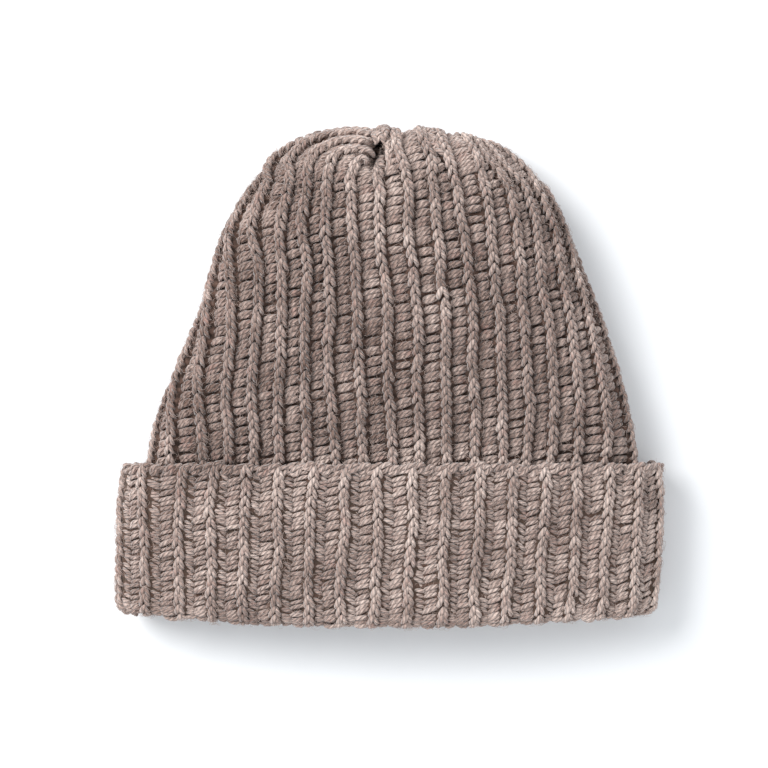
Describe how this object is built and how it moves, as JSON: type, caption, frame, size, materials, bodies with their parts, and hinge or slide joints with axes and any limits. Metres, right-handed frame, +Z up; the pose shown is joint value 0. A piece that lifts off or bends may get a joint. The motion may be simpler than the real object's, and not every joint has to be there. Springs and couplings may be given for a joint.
{
  "type": "ribbed crochet beanie",
  "caption": "Chunky ribbed crochet beanie lying flat, with a deep turned-up cuff, an open head hollow and a gathered top.",
  "frame": {"origin": "on the surface that the hat lies on, under the middle of its bounding box", "axes": "+X across the hat from its left-hand to its right-hand side, +Y from the opening to the gathered top, +Z up from the surface it lies on"},
  "size_m": [0.23, 0.209, 0.04],
  "materials": {
    "crown_yarn": "matte, plied wool-blend yarn worked in ribs",
    "cuff_yarn": "matte, plied wool-blend yarn worked in ribs"
  },
  "bodies": {
    "root": {"crown": "crown_yarn", "cuff": "cuff_yarn"}
  },
  "joints": []
}
